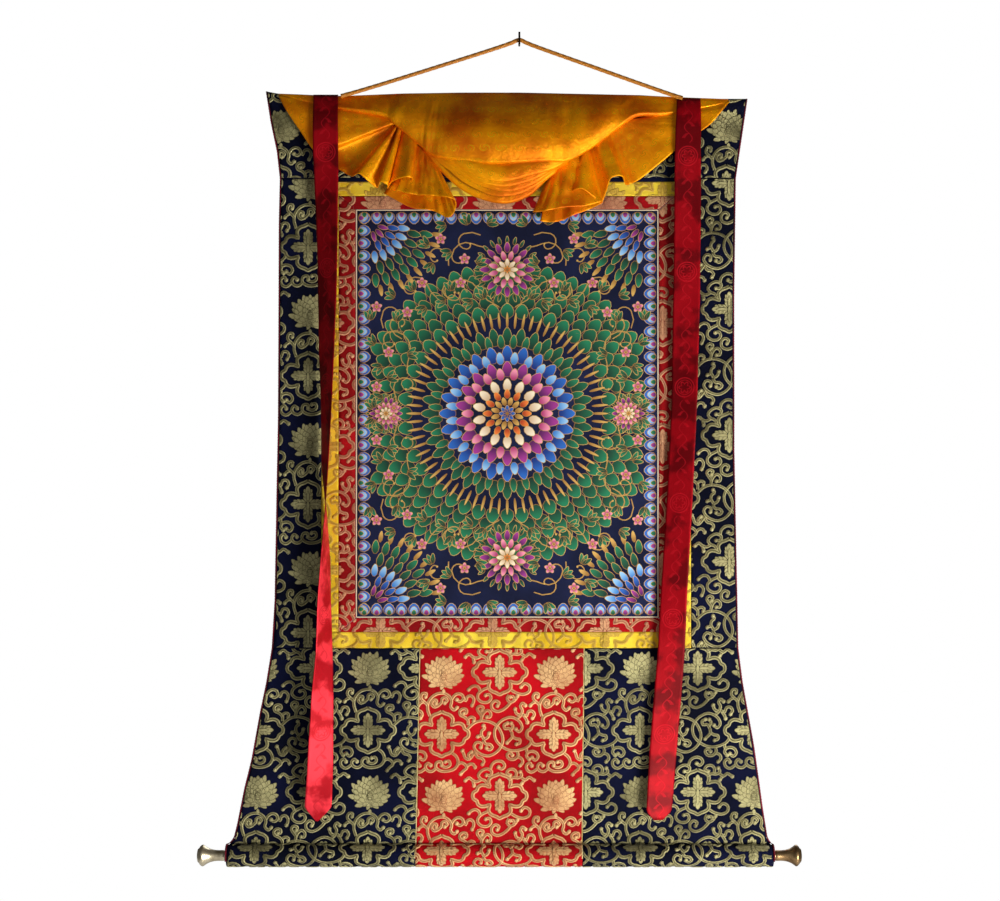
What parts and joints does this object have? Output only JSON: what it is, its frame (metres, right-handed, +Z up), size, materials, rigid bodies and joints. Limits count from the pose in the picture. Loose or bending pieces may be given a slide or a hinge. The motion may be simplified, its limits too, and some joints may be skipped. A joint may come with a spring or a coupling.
{
  "type": "thangka scroll painting with wall hook",
  "caption": "Hanging scroll: painted canvas in brocade borders that widen to a bottom roll with end knobs, under a gathered silk cover and ribbons, on a cord over a wall hook.",
  "frame": {"origin": "centre of the hook's flat back face, on the wall", "axes": "+X to the viewer's right, +Y into the wall, +Z up along the scroll"},
  "size_m": [0.9045, 0.0555, 1.2493],
  "materials": {
    "navy_brocade": "navy silk brocade with gold scroll weave",
    "red_brocade": "red silk brocade with gold scroll weave",
    "dark_red_brocade": "dark red silk brocade with gold scroll weave",
    "yellow_brocade": "yellow silk brocade",
    "painted_canvas": "matt mineral paint on cotton canvas",
    "cover_silk": "thin yellow-orange silk with a soft sheen",
    "ribbon_silk": "red satin damask ribbon",
    "binding": "dark red piping",
    "cord_gold": "golden-orange braided cord",
    "knob_metal": "worn, silver-toned brass",
    "hook_metal": "black iron"
  },
  "bodies": {
    "root": {"brocade_top": "navy_brocade", "brocade_side_left": "navy_brocade", "brocade_side_right": "navy_brocade", "brocade_lower_left": "navy_brocade", "brocade_lower_center": "red_brocade", "brocade_lower_right": "navy_brocade", "yellow_top": "yellow_brocade", "yellow_bottom": "yellow_brocade", "yellow_left": "yellow_brocade", "yellow_right": "yellow_brocade", "red_top": "dark_red_brocade", "red_bottom": "dark_red_brocade", "red_left": "dark_red_brocade", "red_right": "dark_red_brocade", "painting_canvas": "painted_canvas", "binding_left": "binding", "binding_right": "binding", "silk_cover": "cover_silk", "ribbon_left": "ribbon_silk", "ribbon_right": "ribbon_silk", "hanging_cord": "cord_gold", "hook": "hook_metal", "knob_left": "knob_metal", "knob_right": "knob_metal"}
  },
  "joints": []
}
